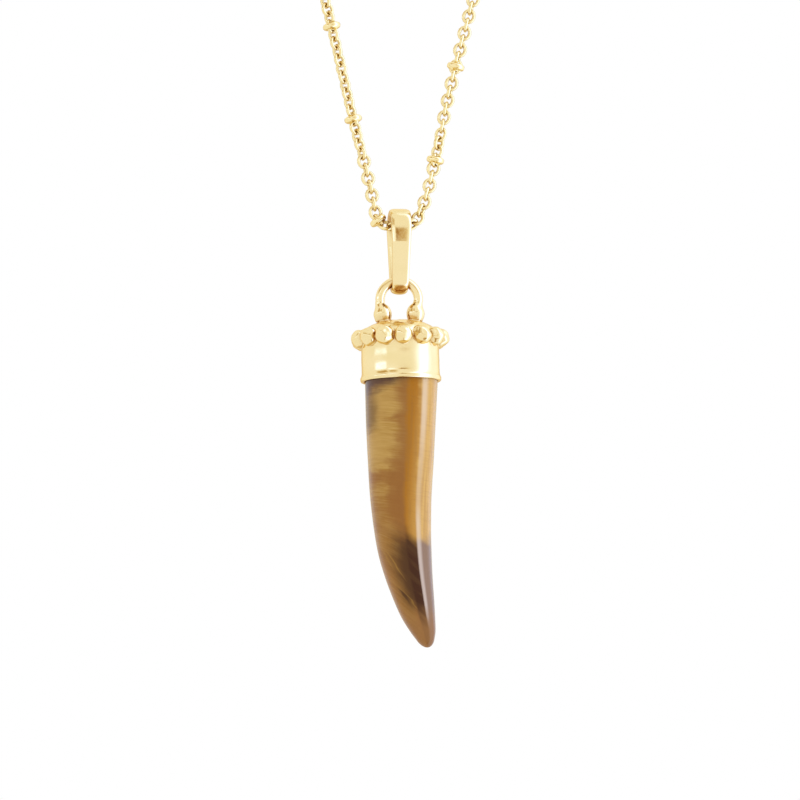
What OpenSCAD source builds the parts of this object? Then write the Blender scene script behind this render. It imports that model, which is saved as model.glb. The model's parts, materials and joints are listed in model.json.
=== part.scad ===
// Horn pendant necklace: a polished stone horn in a beaded metal cap, hung by a
// tall bail on a long fine chain with a small clasp at the nape.
// Millimetres, +Z up, and the front faces -Y. The origin is the middle of the
// neck opening, at the height of the nape.

/* [Horn] */
// Width of the horn where it leaves the cap
horn_w = 9.1; // [7:0.1:11]
// Depth of the horn, front to back, where it leaves the cap
horn_depth = 8.7; // [6:0.1:11]
// Length of the horn below the cap's rim
horn_l = 33.3; // [24:0.1:44]
// How far the tip swings to the side
horn_bend = 2.5; // [0:0.1:5]
// Length of horn held inside the cap
horn_seat = 4.8; // [3:0.1:5]

/* [Cap] */
// Space round the horn inside the band
horn_fit = 0.1; // [0.08:0.01:0.2]
// Thickness of the plain band round the horn
band_wall = 0.23; // [0.2:0.01:0.6]
// Height of the band, from its rim to the middle of the beads
band_h = 5.4; // [5.2:0.1:8]
// How far the rim's lip stands out from the band
lip_out = 0.12; // [0.05:0.01:0.3]
// Height of the rim's lip
lip_h = 0.65; // [0.3:0.05:1.2]
// Number of beads in the collar
bead_count = 13; // [9:1:13]
// Diameter of a bead in the collar
bead_d = 2.2; // [1.6:0.05:2.3]
// How far the beads' centres stand out from the band
bead_out = 0.12; // [0:0.02:0.4]
// How far the first bead is turned past the front
bead_turn = 5; // [0:0.5:27]
// Height of the domed top above the middle of the beads
dome_h = 2.4; // [2:0.1:3.2]
// How far the dome falls between its middle and its edge
dome_fall = 1.15; // [0.6:0.05:1.4]

/* [Loop on the cap] */
// Outer diameter of the loop's round top
loop_d = 6; // [5.6:0.1:7]
// Diameter of the loop's wire
loop_wire = 1.16; // [0.9:0.02:1.2]
// Diameter of the ball at each foot of the loop
ball_d = 2.3; // [1.8:0.1:2.6]
// Distance between the middles of the two balls
ball_gap = 4.06; // [3.6:0.02:4.8]
// Height of the loop's round centre above the middles of the balls
loop_rise = 1.8; // [1.4:0.1:2.2]
// Depth that each ball sinks below the dome's top
ball_sink = 0.35; // [0.3:0.01:0.5]

/* [Bail] */
// Outer height of the bail
bail_h = 10.85; // [8:0.05:14]
// Width of the bail's band at its top
bail_w = 2.7; // [2:0.05:2.8]
// Width of the bail's band at its bottom
bail_low_w = 2.02; // [1.6:0.02:2.1]
// Thickness of the bail's band at its top
bail_wall = 1.25; // [0.8:0.05:1.4]
// Thickness of the bail's band at its bottom
bail_low_wall = 0.94; // [0.7:0.02:1]
// Inner diameter of the bail's round top
bail_bore = 2.5; // [2.4:0.05:3.4]
// Inner diameter of the bail's round bottom
bail_low_bore = 1.7; // [1.6:0.05:2.4]
// Radius of the bail's bowed shoulders, as a share of its height
shoulder_bow = 0.55; // [0.5:0.01:0.65]
// Angle above level at which the round top turns into the shoulders
shoulder_turn = 15; // [10:1:25]
// How far the bail is turned about its upright axis
bail_turn = 8; // [0:0.5:12]
// Space between the bail and what it hangs on or carries
bail_clear = 0.25; // [0.2:0.01:0.35]

/* [Hang] */
// Lean of the cap and horn about the loop's centre
drop_lean = 1.1; // [0:0.1:3]

/* [Chain and clasp] */
// Width of the chain's loop, over the middles of its links
chain_w = 120; // [90:1:150]
// Depth of the chain's loop, from the nape to the chest
chain_depth = 120; // [90:1:150]
// Height of the nape above the chain's lowest point
chain_drop = 246; // [180:1:320]
// Diameter of the space that the chain's links fill
chain_d = 1.5; // [1.2:0.05:1.6]
// Outer diameter of the clasp's ring
clasp_d = 6.2; // [5:0.1:9]
// Diameter of the ring's wire
clasp_wire = 1.3; // [1:0.1:1.6]
// Outer diameter of the eye beside the ring
eye_d = 2.5; // [2.2:0.1:3.2]
// Diameter of the eye's wire
eye_wire = 0.6; // [0.5:0.05:0.7]
// Length of the clasp's small lever
lever_l = 1; // [0.6:0.1:2]
// Space between the clasp and each end of the chain
clasp_clear = 0.2; // [0.1:0.05:0.3]

/* [Hidden] */
$fn = 64;

// Colours of the two finishes
gold = [0.93, 0.8, 0.5];
stone = [0.62, 0.42, 0.18];

// Clasp: a ring with an eye on its right
nape = [0, 58, 0];
ring_r = (clasp_d - clasp_wire) / 2;
eye_r = (eye_d - eye_wire) / 2;
eye_sink = eye_wire / 2;
lever_angle = 45;
eye_x = clasp_d / 2 + eye_d / 2 - eye_sink;
clasp_left = -clasp_d / 2;
clasp_right = eye_x + eye_d / 2;

// Chain: the lowest point of its middle, where the bail hangs
chain_low = [0, nape[1] - chain_depth, nape[2] - chain_drop];
// Points of a strand from the clasp down to the chest: shares of half the loop's
// width, of its depth and of its drop
strand = [
    [0.2, 0.0025, 0], [0.5, 0.05, 0.004], [0.767, 0.158, 0.012], [0.933, 0.308, 0.033],
    [1, 0.475, 0.065], [0.983, 0.633, 0.114], [0.917, 0.767, 0.179], [0.833, 0.867, 0.256],
    [0.733, 0.933, 0.35], [0.617, 0.975, 0.459], [0.483, 0.992, 0.581], [0.237, 1, 0.805]
];
// The rest of each strand, from the chest to the bail: places aside of the lowest
// point and above it, where the right strand hangs closer in than the left one
right_foot = [
    [9.1, 29], [4.4, 9], [3.2, 4], [2.65, 1.9], [2.2, 0.9], [1.55, 0.3], [0.8, 0.05]
];
left_foot = [
    [9.5, 29], [5, 10], [3.5, 3.8], [2.95, 1.9], [2.4, 0.8], [1.6, 0.25], [0.8, 0.05]
];

// Points of the strand on one side, 1 for the right and -1 for the left
function strand_points(side, foot) = concat(
    [for (s = strand)
        [side * s[0] * chain_w / 2, nape[1] - s[1] * chain_depth, nape[2] - s[2] * chain_drop]],
    [for (f = foot) chain_low + [side * f[0], 0, f[1]]]
);

function backwards(p) = [for (i = [len(p) - 1 : -1 : 0]) p[i]];

// The points that the chain's middle follows, from the clasp's eye down the right
// side, under the bail's round top and up the left side to the clasp's ring
route = concat(
    [nape + [clasp_right + clasp_clear, 0, 0]],
    strand_points(1, right_foot),
    [chain_low],
    backwards(strand_points(-1, left_foot)),
    [nape + [clasp_left - clasp_clear, 0, 0]]
);
chain_sides = 8;
// Stretches of tube between two points of the route
chain_steps = 2;
// A direction that the chain never runs along, for its rings' frames
chain_side = [0, -0.6, 0.8];

// Bail: middles and radii of its round top and bottom, in its own upright plane
bail_r = (bail_bore + bail_wall) / 2;
bail_low_r = (bail_low_bore + bail_low_wall) / 2;
bail_span = bail_h - bail_bore / 2 - bail_wall - bail_low_bore / 2 - bail_low_wall;
bail_axis_z = chain_low[2] + chain_d / 2 + bail_clear - bail_bore / 2;
bail_low_z = bail_axis_z - bail_span;
// The shoulders' own middles lie past the axis, so that they run on from the round top
shoulder_r = bail_h * shoulder_bow;
shoulder_y = (shoulder_r - bail_r) * cos(shoulder_turn);
shoulder_z = bail_axis_z - (shoulder_r - bail_r) * sin(shoulder_turn);
// Slope of the straight arms that join the shoulders to the round bottom
arm_reach = [shoulder_y, shoulder_z - bail_low_z];
arm_slope = atan2(arm_reach[1], arm_reach[0])
    - acos((shoulder_r - bail_low_r) / norm(arm_reach));
bail_square = 2.2;
top_steps = 16;
low_steps = 14;
shoulder_steps = 5;
bail_ring = 20;

// Loop: its round centre lies where the wire clears the bail's bottom
loop_r = (loop_d - loop_wire) / 2;
loop_hole = loop_d / 2 - loop_wire;
loop_at = [0, chain_low[1], bail_low_z - bail_low_bore / 2 + bail_clear - loop_hole];
loop_turn = 35;

// Heights in the cap, below the loop's centre
ball_z = -loop_rise;
dome_z = ball_z - ball_d / 2 + ball_sink;
beads_z = dome_z - dome_h;
rim_z = beads_z - band_h;
horn_top_z = rim_z + horn_seat;
seat_clear = 0.1;
dome_steps = 10;

// Widths across the cap, from the horn outwards
bore_d = max(horn_w, horn_depth) + 2 * horn_fit;
band_r = bore_d / 2 + band_wall;

// Horn: each row holds a share of the length below the rim, of the width and
// depth, and of the bend to the side
horn_rows = [
    [0, 1, 0.03], [0.16, 0.955, -0.04], [0.31, 0.9, -0.08], [0.43, 0.845, -0.11],
    [0.55, 0.785, -0.06], [0.64, 0.735, 0.03], [0.73, 0.655, 0.2], [0.82, 0.555, 0.44],
    [0.885, 0.462, 0.64], [0.94, 0.345, 0.86], [0.97, 0.25, 0.97]
];
nose_steps = 6;
// Width left at the very end of the tip, as a share of the full width
nose_end = 0.02;
horn_steps = 3;
horn_sides = 32;
// Squareness of the horn's section: 2 is an ellipse
horn_square = 2.2;

// Points of a superellipse of half sizes a and b, in order round it
function soft_oval(a, b, square, count) = [
    for (i = [0 : count - 1])
        let (t = 360 * i / count, c = cos(t), s = sin(t))
        [a * sign(c) * pow(abs(c), 2 / square), b * sign(s) * pow(abs(s), 2 / square)]
];

// A smooth curve through the points p0 to p3, at share t between p1 and p2
function curve_at(p0, p1, p2, p3, t) =
    let (
        d1 = sqrt(norm(p1 - p0)),
        d2 = sqrt(norm(p2 - p1)),
        d3 = sqrt(norm(p3 - p2)),
        m1 = d2 * ((p1 - p0) / d1 - (p2 - p0) / (d1 + d2)) + (p2 - p1),
        m2 = d2 * ((p3 - p2) / d3 - (p3 - p1) / (d2 + d3)) + (p2 - p1)
    )
    (2 * t * t * t - 3 * t * t + 1) * p1 + (t * t * t - 2 * t * t + t) * m1
        + (3 * t * t - 2 * t * t * t) * p2 + (t * t * t - t * t) * m2;

// The list p with one more point past each end, so that a curve can start and stop
function with_ends(p) = concat(
    [2 * p[0] - p[1]], p, [2 * p[len(p) - 1] - p[len(p) - 2]]
);

// The list p with its points joined by a smooth curve, in steps from each to the next
function smooth(p, steps) = let (q = with_ends(p), last = len(p) - 2) concat(
    [for (i = [0 : last])
        for (j = [0 : steps - 1])
            curve_at(q[i], q[i + 1], q[i + 2], q[i + 3], j / steps)],
    [p[last + 1]]
);

function unit(v) = v / norm(v);

// Direction of a path at its point i
function heading(p, i) = unit(p[min(i + 1, len(p) - 1)] - p[max(i - 1, 0)]);

// Skin over rings of equal counts, closed by two ends or joined into a loop
module skin(rings, looped = false) {
    rows = len(rings);
    sides = len(rings[0]);
    spans = looped ? rows : rows - 1;
    walls = [
        for (i = [0 : spans - 1])
            for (j = [0 : sides - 1])
                let (
                    a = i * sides + j,
                    b = i * sides + (j + 1) % sides,
                    c = ((i + 1) % rows) * sides + (j + 1) % sides,
                    d = ((i + 1) % rows) * sides + j
                )
                each [[a, b, c], [a, c, d]]
    ];
    ends = looped ? [] : [
        [for (j = [sides - 1 : -1 : 0]) j],
        [for (j = [0 : sides - 1]) (rows - 1) * sides + j]
    ];
    polyhedron(points = [for (ring = rings) each ring], faces = concat(walls, ends), convexity = 10);
}

// Chain, as the tube that its links fill, with its flats across and up
module chain() {
    path = smooth(route, chain_steps);
    rings = [
        for (i = [0 : len(path) - 1])
            let (
                along = heading(path, i),
                across = unit(cross(along, chain_side)),
                up = cross(across, along)
            )
            [for (j = [0 : chain_sides - 1])
                let (t = 360 * (j + 0.5) / chain_sides)
                path[i] + chain_d / 2 * (cos(t) * across + sin(t) * up)]
    ];
    color(gold) skin(rings);
}

// A round wire bent into a ring that stands upright, facing the front
module wire_ring(middle_r, wire, turn = 360) {
    rotate([90, 0, 0])
        rotate([0, 0, 90 - turn / 2])
            rotate_extrude(angle = turn)
                translate([middle_r, 0])
                    circle(d = wire);
}

// Clasp: a plain spring ring with its eye and lever
module clasp() {
    color(gold) translate(nape) {
        wire_ring(ring_r, clasp_wire);
        translate([eye_x, 0, 0])
            rotate([90, 0, 0])
                wire_ring(eye_r, eye_wire);
        rotate([0, lever_angle, 0])
            translate([0, 0, ring_r])
                cylinder(d = clasp_wire / 2, h = clasp_wire / 2 + lever_l);
    }
}

// One ring of the bail's band, where its surface faces angle a above level, on an
// arc of radius r round the middle at y and z. It is wider and thicker higher up.
function bail_section(a, y, z, r) =
    let (
        height = (z + r * sin(a) - bail_low_z) / bail_span,
        share = min(1, max(0, height)),
        wall = bail_low_wall + share * (bail_wall - bail_low_wall),
        width = bail_low_w + share * (bail_w - bail_low_w)
    )
    [for (p = soft_oval(wall / 2, width / 2, bail_square, bail_ring))
        [p[1], y + (r + p[0]) * cos(a), z + (r + p[0]) * sin(a)]];

// Rings of the bail from angle a to angle b in steps, without the first one where
// another arc has just ended there
function bail_arc(a, b, y, z, r, steps, first = 0) = [
    for (i = [first : steps]) bail_section(a + (b - a) * i / steps, y, z, r)
];

// Bail: a tall closed band with a round top, bowed shoulders and a round bottom
module bail() {
    rings = concat(
        bail_arc(-arm_slope, shoulder_turn, -shoulder_y, shoulder_z, shoulder_r, shoulder_steps),
        bail_arc(shoulder_turn, 180 - shoulder_turn, 0, bail_axis_z, bail_r, top_steps, 1),
        bail_arc(180 - shoulder_turn, 180 + arm_slope, shoulder_y, shoulder_z, shoulder_r,
            shoulder_steps, 1),
        bail_arc(180 + arm_slope, 360 - arm_slope, 0, bail_low_z, bail_low_r, low_steps)
    );
    color(gold)
        translate([chain_low[0], chain_low[1], 0])
            rotate([0, 0, bail_turn])
                skin(rings, looped = true);
}

// Hangs the cap and horn from the loop's centre, with their lean
module hung() {
    translate(loop_at)
        rotate([0, -drop_lean, 0])
            children();
}

// Side view of the cup without its bore: the dome, the band and the lip at the rim
module cup_profile() {
    lip_r = band_r + lip_out;
    dome = [
        for (i = [0 : dome_steps])
            let (t = 90 * i / dome_steps)
            [band_r * sin(t), dome_z - dome_fall * (1 - cos(t))]
    ];
    polygon(concat(dome, [
        [band_r, rim_z + lip_h + lip_out],
        [lip_r, rim_z + lip_h],
        [lip_r, rim_z + lip_out],
        [band_r, rim_z],
        [0, rim_z]
    ]));
}

// Cap: cup, collar of beads and loop, soldered into one piece
module cap() {
    color(gold) hung() {
        difference() {
            union() {
                rotate_extrude()
                    cup_profile();
                for (i = [0 : bead_count - 1])
                    rotate([0, 0, bead_turn - 90 + i * 360 / bead_count])
                        translate([band_r + bead_out, 0, beads_z])
                            sphere(d = bead_d);
            }
            translate([0, 0, rim_z - lip_h])
                cylinder(d = bore_d, h = lip_h + horn_seat + seat_clear);
        }
        wire_ring(loop_r, loop_wire, 180 + 2 * loop_turn);
        for (side = [-1, 1])
            translate([side * ball_gap / 2, 0, ball_z])
                sphere(d = ball_d);
    }
}

// One ring of the horn at height z
function horn_section(z, size, aside) = [
    for (p = soft_oval(size * horn_w / 2, size * horn_depth / 2, horn_square, horn_sides))
        [p[0] + aside * horn_bend, p[1], z]
];

// Horn: straight inside the cap, then tapering and bending to a rounded tip
module horn() {
    body = smooth(horn_rows, horn_steps);
    last = horn_rows[len(horn_rows) - 1];
    nose = [
        for (i = [1 : nose_steps])
            let (t = 90 * i / nose_steps)
            [last[0] + (1 - last[0]) * sin(t), last[1] * max(cos(t), nose_end),
                last[2] + (1 - last[2]) * sin(t)]
    ];
    rows = concat([[0, 1, body[0][2]]], body, nose);
    color(stone) hung()
        skin([
            for (i = [0 : len(rows) - 1])
                horn_section(i == 0 ? horn_top_z : rim_z - horn_l * rows[i][0], rows[i][1],
                    rows[i][2])
        ]);
}

chain();
clasp();
bail();
cap();
horn();
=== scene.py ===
# %% [markdown]
# # A stone horn on a long fine chain
#
# The necklace is a polished brown stone, ground to the shape of a small horn and set in a
# gold cap with a collar of hammered beads. A tall bail hangs the cap on a chain of nearly
# round links, with a wider bead at every eleventh or twelfth link and a small spring clasp at
# the nape.
#
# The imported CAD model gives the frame: where each part is, and how it moves. It could be
# rendered as it is, but its solids are plain. Each step here makes one part again in finer
# detail, in the same place, and says which CAD node it stands for.

# %% Load the frame
import json
import math
from functools import partial
from types import SimpleNamespace

import bmesh
import bpy
from mathutils import Matrix, Vector, noise


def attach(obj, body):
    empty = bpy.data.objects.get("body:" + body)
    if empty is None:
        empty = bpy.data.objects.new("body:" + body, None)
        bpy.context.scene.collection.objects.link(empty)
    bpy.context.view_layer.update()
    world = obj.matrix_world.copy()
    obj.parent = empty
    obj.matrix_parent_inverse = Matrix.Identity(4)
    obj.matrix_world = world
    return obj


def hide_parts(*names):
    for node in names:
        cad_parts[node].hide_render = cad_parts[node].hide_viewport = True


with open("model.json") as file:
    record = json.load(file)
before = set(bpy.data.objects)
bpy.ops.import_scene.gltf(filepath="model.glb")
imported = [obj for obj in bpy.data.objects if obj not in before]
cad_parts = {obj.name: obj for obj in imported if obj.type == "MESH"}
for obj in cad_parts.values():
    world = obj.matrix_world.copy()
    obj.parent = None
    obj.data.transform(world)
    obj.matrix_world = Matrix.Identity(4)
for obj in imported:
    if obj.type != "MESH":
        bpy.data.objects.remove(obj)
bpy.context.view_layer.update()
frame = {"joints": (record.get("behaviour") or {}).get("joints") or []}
joints = {joint["name"]: joint for joint in frame["joints"]}

# The script's own unit is the millimetre, and a finished mesh is brought to metres
MM = 0.001
hinge = Vector(joints["bail_swing"]["pos_m"]) / MM
loop_at = Vector(joints["drop_swing"]["pos_m"]) / MM
print("bail hangs at", hinge, "and the drop hangs at", loop_at)

# %% [markdown]
# ## Helpers for node trees and meshes
#
# Materials, the studio and the repeated parts are all node trees, and trees are long to
# write out link by link. The first helpers add a node, set its fields, and fill its inputs
# with plain values or with another node's output. The others turn points and faces into mesh
# objects, loft a skin over rings of points, join pieces and apply modifiers.

# %% Helpers for node trees
def fill(tree, made, inputs):
    """Fills a node's inputs with plain values, or links them to other nodes' outputs."""
    for name, value in inputs.items():
        if isinstance(value, bpy.types.NodeSocket):
            tree.links.new(value, made.inputs[name])
        else:
            made.inputs[name].default_value = value


def node(tree, kind, inputs=None, **fields):
    """Adds a node with its fields set and its inputs filled, and returns it."""
    made = tree.nodes.new(kind)
    for name, value in fields.items():
        setattr(made, name, value)
    fill(tree, made, inputs or {})
    return made


def first(tree, kind, inputs=None, **fields):
    """Adds a node in the same way, and returns its first output."""
    return node(tree, kind, inputs, **fields).outputs[0]


def maths(tree, operation, *values):
    """A Math node's output for up to three values or sockets."""
    return first(tree, "ShaderNodeMath", dict(enumerate(values)), operation=operation)


def ramp(tree, value, low, high, to_low=0.0, to_high=1.0):
    """A smooth step of value from low to high, as the numbers to_low to to_high."""
    inputs = {"Value": value, "From Min": low, "From Max": high,
              "To Min": to_low, "To Max": to_high}
    return first(tree, "ShaderNodeMapRange", inputs, interpolation_type="SMOOTHSTEP")


def new_material(name):
    """A new material, its node tree and its surface shader."""
    material = bpy.data.materials.new(name)
    material.use_nodes = True
    return material, material.node_tree, material.node_tree.nodes["Principled BSDF"]


# %% Helpers for meshes
def placed(name, data):
    """A new object for a mesh or a camera, linked to the scene."""
    made = bpy.data.objects.new(name, data)
    bpy.context.scene.collection.objects.link(made)
    return made


def mesh_object(name, points, faces, edges=()):
    """A mesh object from points, which are in millimetres for a piece."""
    mesh = bpy.data.meshes.new(name)
    mesh.from_pydata([tuple(p) for p in points], list(edges), faces)
    mesh.update()
    return placed(name, mesh)


def outwards(mesh):
    """Merges doubled points and turns every face of a closed mesh outwards."""
    work = bmesh.new()
    work.from_mesh(mesh)
    bmesh.ops.remove_doubles(work, verts=work.verts, dist=1e-4)
    bmesh.ops.recalc_face_normals(work, faces=work.faces)
    work.to_mesh(mesh)
    work.free()


def applied(made):
    """Replaces an object's mesh by what its modifiers make of it."""
    graph = bpy.context.evaluated_depsgraph_get()
    mesh = bpy.data.meshes.new_from_object(made.evaluated_get(graph))
    old = made.data
    made.modifiers.clear()
    made.data = mesh
    bpy.data.meshes.remove(old)
    return made


def joined(name, parts):
    """One object from several, which are used up."""
    work = bmesh.new()
    for part in parts:
        work.from_mesh(part.data)
    mesh = bpy.data.meshes.new(name)
    work.to_mesh(mesh)
    work.free()
    for part in parts:
        bpy.data.objects.remove(part)
    return placed(name, mesh)


def lofted(name, rings, closed):
    """A skin over rings of equal counts, closed to a loop or by its two ends."""
    count = len(rings)
    sides = len(rings[0])
    faces = []
    for i in range(count if closed else count - 1):
        for j in range(sides):
            k = (j + 1) % sides
            row, following = i * sides, (i + 1) % count * sides
            faces.append((row + j, row + k, following + k, following + j))
    if not closed:
        faces.append(tuple(range(sides))[::-1])
        faces.append(tuple((count - 1) * sides + j for j in range(sides)))
    made = mesh_object(name, [point for outline in rings for point in outline], faces)
    outwards(made.data)
    return made


def angles_round(count):
    """Evenly spaced angles round a full circle, in radians."""
    return [2 * math.pi * j / count for j in range(count)]


def clamped(value):
    """The value, kept between 0 and 1."""
    return min(1, max(0, value))


def squarish(angle, square):
    """A point of a circle of radius 1, whose outline is round for 2 and squarer above."""
    return [math.copysign(abs(part) ** (2 / square), part)
            for part in (math.cos(angle), math.sin(angle))]


def finished(made, material, body, slot, *nodes):
    """Brings a piece to metres, dresses it, and lets it ride in place of the CAD nodes."""
    made.data.transform(Matrix.Scale(MM, 4))
    made.data.materials.clear()
    made.data.materials.append(material)
    made.data.shade_smooth()
    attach(made, body)
    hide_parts(*nodes)
    triangles = sum(len(face.vertices) - 2 for face in made.data.polygons)
    print(made.name, "has", triangles, "triangles and stands for", ", ".join(nodes))
    return made


# %% [markdown]
# ## Camera
#
# The picture shows the pendant from the front and a little below, because the rim of the
# cap bows upwards. A long lens keeps the two strands of chain nearly straight. The camera is
# placed from the loop on the cap, which is the CAD model's own joint, so it follows the part.

# %% Camera
camera_distance = 600
camera_rise = math.radians(7)
camera_lens = 216
camera_aim = Vector((0.1, 0, -12.66))
target = loop_at + camera_aim
sight = Vector((0, math.cos(camera_rise), math.sin(camera_rise)))
camera = placed("camera", bpy.data.cameras.new("camera"))
camera.data.lens = camera_lens
camera.data.sensor_width = 36
camera.data.clip_start = 0.01
camera.location = (target - camera_distance * sight) * MM
camera.rotation_euler = sight.to_track_quat("-Z", "Y").to_euler()
bpy.context.scene.camera = camera
bpy.context.scene.view_settings.view_transform = "Standard"
print("camera at", camera.location)

# %% [markdown]
# ## Studio
#
# Polished gold has no colour of its own to show: it shows the studio. The picture was taken
# in a white tent, with a tall bright panel on the right, a small bright window on the left,
# and darker places where the camera, the stands and the table break the white. Lamps could
# give the panels, but a world shader that brightens and darkens by direction is free of
# noise and the same at every scale. A direction's angle round the piece and its height are
# worked out first, and each panel is a soft rectangle of the two. Gold mirrors the weak
# places in a warm colour. Matt surfaces get plain white light of the same strength, so that
# the stone keeps its own colours.

# %% Studio
def studio_panel(tree, turn, height, middle, reach, low, high, soft, soft_up):
    """1 inside a rectangle of directions and 0 outside, with soft edges, in degrees."""
    apart = maths(tree, "COSINE", maths(tree, "SUBTRACT", turn, math.radians(middle)))
    aside = maths(tree, "ARCCOSINE", apart)
    across = ramp(tree, aside, math.radians(reach - soft), math.radians(reach + soft), 1, 0)
    over = ramp(tree, height, math.radians(low - soft_up), math.radians(low + soft_up))
    under = ramp(tree, height, math.radians(high - soft_up), math.radians(high + soft_up), 1, 0)
    return maths(tree, "MULTIPLY", across, maths(tree, "MULTIPLY", over, under))


# Middle, half width, lowest and highest angle, softness across and up, all in degrees, then
# the gain
studio_panels = {
    "backdrop": (180, 28, -95, 22, 12, 10, -0.4),
    "right wall": (100, 50, -70, 80, 25, 14, 0.3),
    "right panel": (73, 16, -70, 80, 18, 14, 0.85),
    "left window": (-61, 19, 8, 12, 5, 2.5, 0.9),
    "camera": (6, 16, 13.5, 21.5, 16, 1.5, -0.95),
    "left card": (-19, 17, 13.5, 21.5, 5, 1.5, 0.5),
    "left stand": (-61, 17, 23, 50, 6, 4, -0.7),
    "right stand": (-24, 11, 28, 50, 5, 4, -0.6),
    "table": (16, 22, -118, -52, 8, 8, -0.8),
}
tent_light = 1.15
# Weak light has bounced off warm things, so red fades least and blue most
warmth = {"Red": 0.58, "Green": 1.0, "Blue": 1.9}

world = bpy.data.worlds.new("studio")
bpy.context.scene.world = world
world.use_nodes = True
studio = world.node_tree
studio.nodes.clear()
direction = node(studio, "ShaderNodeTexCoord").outputs["Generated"]
part = node(studio, "ShaderNodeSeparateXYZ", {"Vector": direction}).outputs
turn = maths(studio, "ARCTAN2", part["X"], maths(studio, "MULTIPLY", part["Y"], -1))
height = maths(studio, "ARCSINE", part["Z"])
light = tent_light
for *panel_shape, gain in studio_panels.values():
    panel = studio_panel(studio, turn, height, *panel_shape)
    light = maths(studio, "MULTIPLY_ADD", panel, gain, light)
tint = first(studio, "ShaderNodeCombineColor", {
    name: maths(studio, "POWER", light, fading) for name, fading in warmth.items()})
white = (1, 1, 1, 1)
tent, plain, paper = [
    first(studio, "ShaderNodeBackground", {"Color": colour, "Strength": strength})
    for colour, strength in ((tint, 1.0), (white, light), (white, 1.0))]
ray = node(studio, "ShaderNodeLightPath").outputs
lit = first(studio, "ShaderNodeMixShader", {0: ray["Is Diffuse Ray"], 1: tent, 2: plain})
mixed = first(studio, "ShaderNodeMixShader", {0: ray["Is Camera Ray"], 1: lit, 2: paper})
node(studio, "ShaderNodeOutputWorld", {"Surface": mixed})
print("studio has", len(studio_panels), "panels")

# %% [markdown]
# The floor is a plain pale sheet, far enough below to stay out of the picture. Seen from
# higher up it closes the view under the piece. Its light reaches the stone, but the gold
# mirrors the studio's own lower half, whose panels can be placed more exactly.

# %% Floor
floor_half = 6
floor_z = -0.55
floor_corners = [(-1, -1), (1, -1), (1, 1), (-1, 1)]
floor_points = [(x * floor_half, y * floor_half, floor_z) for x, y in floor_corners]
floor = mesh_object("floor", floor_points, [(0, 1, 2, 3)])
pale, pale_tree, pale_surface = new_material("pale floor")
fill(pale_tree, pale_surface, {"Base Color": (0.9, 0.9, 0.9, 1), "Roughness": 0.9})
floor.data.materials.append(pale)
floor.visible_glossy = False

# %% [markdown]
# ## Gold
#
# The metal is polished gold plate over a casting. A casting is never quite even: its skin
# has slow waves, and polishing leaves faint fine marks. The colour is that of metal, so it
# tints what it mirrors. Noise on the object's own coordinates gives a slow change of tint, a
# fine one of roughness, and two scales of bump. Where the metal is closed in, between beads
# and inside links, shade is painted into the colour as brown, and ambient occlusion finds
# those places. A piece can also mark a place of painted shade itself, by an attribute that
# the material reads. The links of the chain shade each other, so the chain has its own,
# slightly paler gold.

# %% Gold material
# Noise scales are per metre, as Object coordinates are, and bump heights are in metres
casting_scale = 260.0
polish_scale = 3200.0
casting_height = 0.0002
polish_height = 0.00002
casting_bump = 0.12
polish_bump = 0.15
crevice_reach = 0.003
gold_edge = (1, 0.88, 0.65, 1)
gold_roughness = 0.13


def polished_gold(name, tint, deeper, painted_shade, shut):
    """Gold, with shade painted in brown where the air round it is open by less than the share
    shut, and wherever a piece marks a place.
    """
    material, tree, surface = new_material(name)
    place = node(tree, "ShaderNodeTexCoord").outputs["Object"]
    slow, fine = [
        first(tree, "ShaderNodeTexNoise", {"Vector": place, "Scale": scale, "Detail": detail})
        for scale, detail in ((casting_scale, 2.0), (polish_scale, 3.0))]
    colours = node(tree, "ShaderNodeValToRGB", {"Fac": slow})
    for stop, at, colour in zip(colours.color_ramp.elements, (0.3, 0.65), (deeper, tint)):
        stop.position = at
        stop.color = colour
    # Painted shade: the colour turns brown where ambient occlusion finds closed-in metal, and
    # where a piece's attribute marks it
    open_air = node(tree, "ShaderNodeAmbientOcclusion", {"Distance": crevice_reach}, samples=8)
    marked_shade = node(tree, "ShaderNodeAttribute", attribute_name="painted_shade").outputs["Fac"]
    crevice_shade = maths(tree, "MAXIMUM", ramp(tree, open_air.outputs["AO"], 0.3, shut, 1, 0), marked_shade)
    mix = node(tree, "ShaderNodeMix", {0: crevice_shade, 6: colours.outputs[0], 7: painted_shade},
               data_type="RGBA")
    waves = first(tree, "ShaderNodeBump", {
        "Height": slow, "Strength": casting_bump, "Distance": casting_height})
    marks = first(tree, "ShaderNodeBump", {
        "Height": fine, "Strength": polish_bump, "Distance": polish_height, "Normal": waves})
    fill(tree, surface, {
        "Metallic": 1.0, "Specular Tint": gold_edge, "Base Color": mix.outputs[2],
        "Roughness": ramp(tree, fine, 0.3, 0.7, gold_roughness * 0.8, gold_roughness * 1.3),
        "Normal": marks})
    return material


gold = polished_gold(
    "polished gold", tint=(0.86, 0.67, 0.325, 1), deeper=(0.82, 0.63, 0.28, 1),
    painted_shade=(0.52, 0.27, 0.08, 1), shut=0.8)
chain_gold = polished_gold(
    "chain gold", tint=(0.88, 0.70, 0.33, 1), deeper=(0.84, 0.65, 0.28, 1),
    painted_shade=(0.55, 0.36, 0.12, 1), shut=0.55)
print("made", gold.name, "and", chain_gold.name)
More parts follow.
